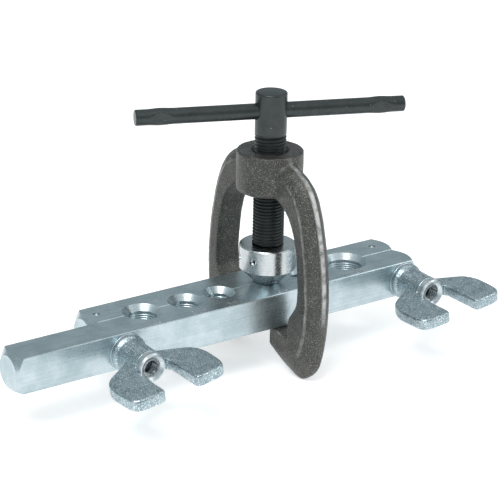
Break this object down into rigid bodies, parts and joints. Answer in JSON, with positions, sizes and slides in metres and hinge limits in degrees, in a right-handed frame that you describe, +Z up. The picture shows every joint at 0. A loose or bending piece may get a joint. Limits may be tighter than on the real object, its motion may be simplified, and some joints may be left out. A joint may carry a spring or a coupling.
{
  "type": "flaring tool",
  "caption": "Yoke-type tube flaring tool: split square bars with graded tube holes, wing nut studs, a hooked forged yoke and a screw-driven cone with a sliding tommy bar.",
  "frame": {"origin": "on the screw axis, in the joint line of the two bars, at the bars' underside, where a tube enters the hole below the cone", "axes": "+X along the bars away from the handle, +Y from the front bar to the back bar, +Z up along the screw"},
  "size_m": [0.2255, 0.1008, 0.1244],
  "materials": {
    "zinc_plate": "zinc plated, satin with fine drawing streaks",
    "zinc_casting": "zinc plated casting, rough faces and bright edges",
    "bright_steel": "bright turned steel",
    "ground_steel": "bright ground steel",
    "forged_steel": "raw forged steel, dark scale with a dull sheen",
    "black_oxide": "black oxide, satin"
  },
  "bodies": {
    "front": {"front_bar": "zinc_plate", "washer_left": "zinc_plate", "washer_right": "zinc_plate", "yoke": "forged_steel"},
    "rear": {"back_bar": "zinc_plate", "stud_left": "bright_steel", "stud_right": "bright_steel", "stud_pin_left": "bright_steel", "stud_pin_right": "bright_steel"},
    "nut_left": {"wing_nut_left": "zinc_casting"},
    "nut_right": {"wing_nut_right": "zinc_casting"},
    "cone": {"flaring_cone": "ground_steel", "cone_pin_front": "bright_steel", "cone_pin_back": "bright_steel", "thrust_ball": "bright_steel"},
    "screw": {"feed_screw": "black_oxide"},
    "handle": {"tommy_bar": "black_oxide"}
  },
  "joints": [
    {"name": "back_bar_open", "type": "slide", "parent": "front", "child": "rear", "axis": [0, 1, 0], "range_m": [0, 0.007]},
    {"name": "nut_left_turn", "type": "hinge", "parent": "front", "child": "nut_left", "pos_m": [-0.0839, -0.0173, 0.0075], "axis": [0, -1, 0], "range_deg": [0, 2017]},
    {"name": "nut_right_turn", "type": "hinge", "parent": "front", "child": "nut_right", "pos_m": [0.066, -0.0173, 0.0075], "axis": [0, -1, 0], "range_deg": [0, 2017]},
    {"name": "screw_feed", "type": "slide", "parent": "front", "child": "cone", "axis": [0, 0, 1], "range_m": [0, 0.0245]},
    {"name": "screw_turn", "type": "hinge", "parent": "cone", "child": "screw", "pos_m": [0, 0, 0], "axis": [0, 0, 1], "range_deg": [0, 5879]},
    {"name": "tommy_slide", "type": "slide", "parent": "screw", "child": "handle", "axis": [0.9317, -0.3633, 0], "range_m": [-0.0372, 0.0372]}
  ],
  "couplings": [
    {"joint": "nut_left_turn", "follows": "back_bar_open", "rad_per_m": 5026.5},
    {"joint": "nut_right_turn", "follows": "back_bar_open", "rad_per_m": 5026.5},
    {"joint": "screw_feed", "follows": "screw_turn", "m_per_rad": 0.00023873}
  ]
}
